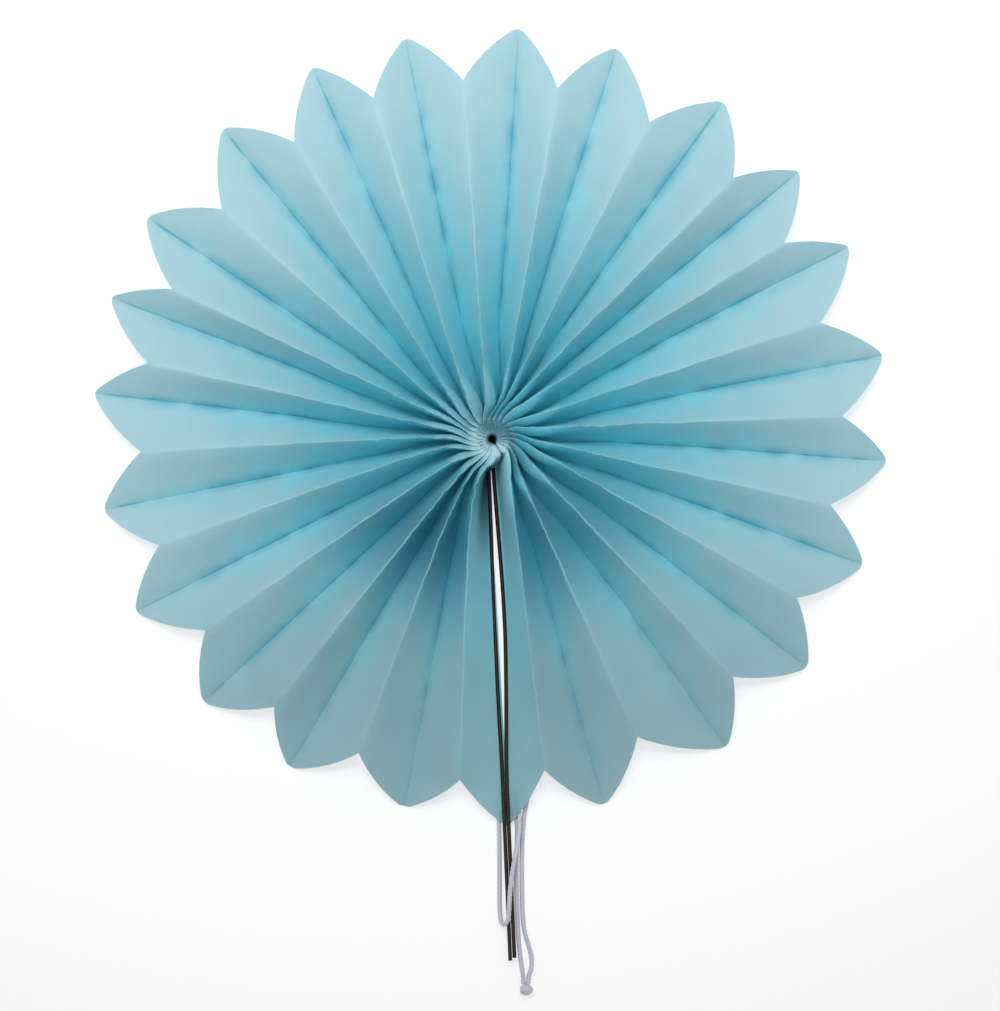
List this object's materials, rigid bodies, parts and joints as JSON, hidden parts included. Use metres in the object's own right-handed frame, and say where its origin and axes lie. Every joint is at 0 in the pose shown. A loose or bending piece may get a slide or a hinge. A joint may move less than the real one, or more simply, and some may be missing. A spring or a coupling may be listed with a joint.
{
  "type": "paper fan rosette",
  "caption": "Round pleated paper rosette of leaf-shaped petals, its two end panels glued to a pair of wire ribs that reach past the rim and carry a looped hanging cord.",
  "frame": {"origin": "the hub's axis, on the surface that the rosette lies on", "axes": "+Z along the hub's axis, out of the side that is looked at; the ribs and the hanging cord run towards -Y; +X to the right when looked at"},
  "size_m": [0.2966, 0.3639, 0.0209],
  "materials": {
    "paper": "matte tissue paper",
    "thread": "plain sewing thread",
    "rib_wire": "polished round wire",
    "cord": "soft twisted string"
  },
  "bodies": {
    "root": {"pleated_paper": "paper", "gather_thread": "thread", "left_rib": "rib_wire", "right_rib": "rib_wire", "hanging_cord": "cord", "cord_knot": "cord"}
  },
  "joints": []
}
